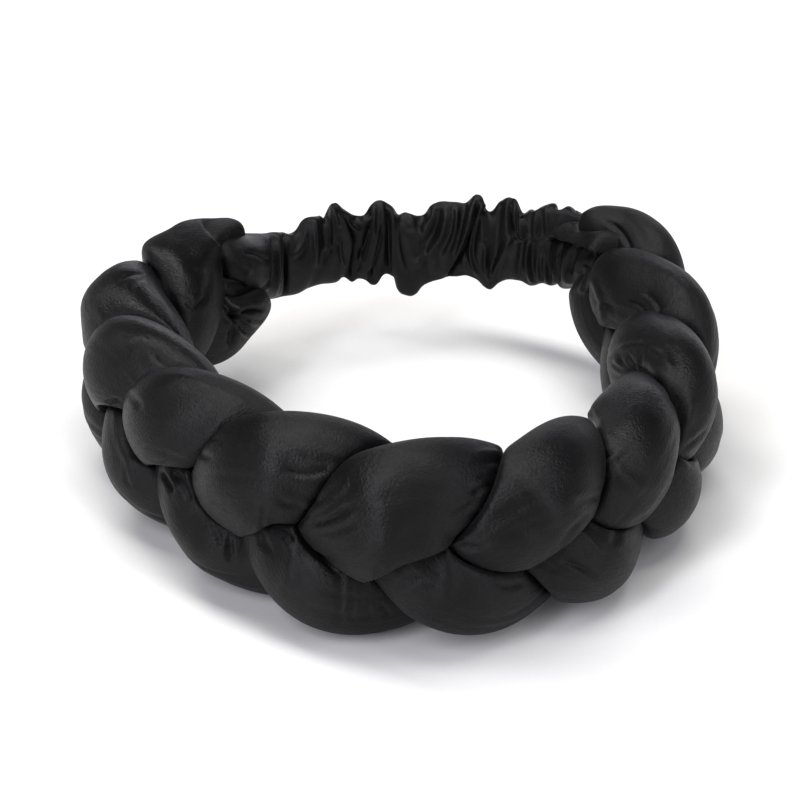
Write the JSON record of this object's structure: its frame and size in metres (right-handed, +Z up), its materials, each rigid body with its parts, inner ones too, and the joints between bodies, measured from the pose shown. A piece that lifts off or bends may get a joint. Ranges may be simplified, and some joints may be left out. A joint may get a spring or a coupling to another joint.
{
  "type": "braided padded headband",
  "caption": "Padded satin headband plaited from stuffed tubes, closed at the nape by a gathered elastic casing.",
  "frame": {"origin": "middle of the ring, on the surface that its lower edge stands on", "axes": "+Z up along the head's axis, the forehead towards -Y and the gathered nape towards +Y"},
  "size_m": [0.201, 0.1964, 0.0645],
  "materials": {
    "braid_satin": "black satin, soft sheen",
    "casing_satin": "black satin, gathered",
    "cuff_satin": "black satin, folded",
    "elastic": "woven black elastic"
  },
  "bodies": {
    "root": {"braid_strand_a": "braid_satin", "braid_strand_b": "braid_satin", "braid_strand_c": "braid_satin", "back_casing": "casing_satin", "end_cuff_right": "cuff_satin", "end_cuff_left": "cuff_satin", "elastic_band": "elastic"}
  },
  "joints": []
}
